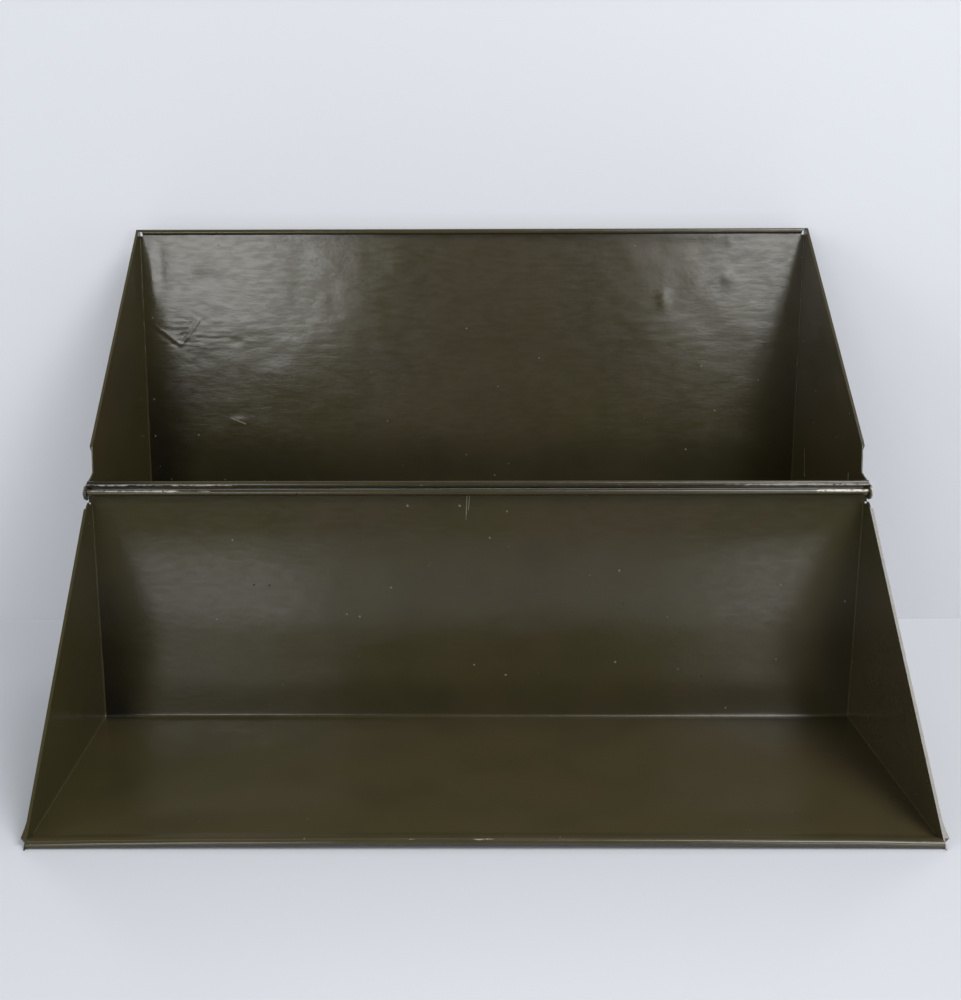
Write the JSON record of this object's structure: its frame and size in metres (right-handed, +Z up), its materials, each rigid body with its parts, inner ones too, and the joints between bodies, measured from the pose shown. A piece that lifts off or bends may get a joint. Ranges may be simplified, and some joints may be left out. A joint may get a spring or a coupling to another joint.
{
  "type": "folding drain pan",
  "caption": "Folding sheet-steel drain pan: paired V-section troughs, open along the front, joined by a full-length rod hinge, shown standing open.",
  "frame": {"origin": "centre of the open pan's footprint, on the surface it stands on", "axes": "+X along the hinge to the right end plates, +Y from the open front to the back, +Z up"},
  "size_m": [0.5058, 0.3752, 0.3141],
  "materials": {
    "lower_paint": "semi-gloss olive drab paint over sheet steel, worn to bare metal along the edges",
    "upper_paint": "semi-gloss olive drab paint over sheet steel, dented and chipped",
    "wire_steel": "drawn steel wire, dull and lightly rusted",
    "rod_steel": "drawn steel rod, painted over and worn at the ends"
  },
  "bodies": {
    "lower_trough": {"lower_trough_sheet": "lower_paint", "lower_left_end_plate": "lower_paint", "lower_right_end_plate": "lower_paint", "lower_rim_wire": "wire_steel", "hinge_rod": "rod_steel", "left_hinge_washer": "rod_steel", "right_hinge_washer": "rod_steel"},
    "upper_trough": {"upper_trough_sheet": "upper_paint", "upper_left_end_plate": "upper_paint", "upper_right_end_plate": "upper_paint", "upper_rim_wire": "wire_steel", "upper_lip_wire": "wire_steel"}
  },
  "joints": [
    {"name": "trough_hinge", "type": "hinge", "parent": "lower_trough", "child": "upper_trough", "pos_m": [0, -0.00793, 0.156], "axis": [1, 0, 0], "range_deg": [0, 179]}
  ]
}
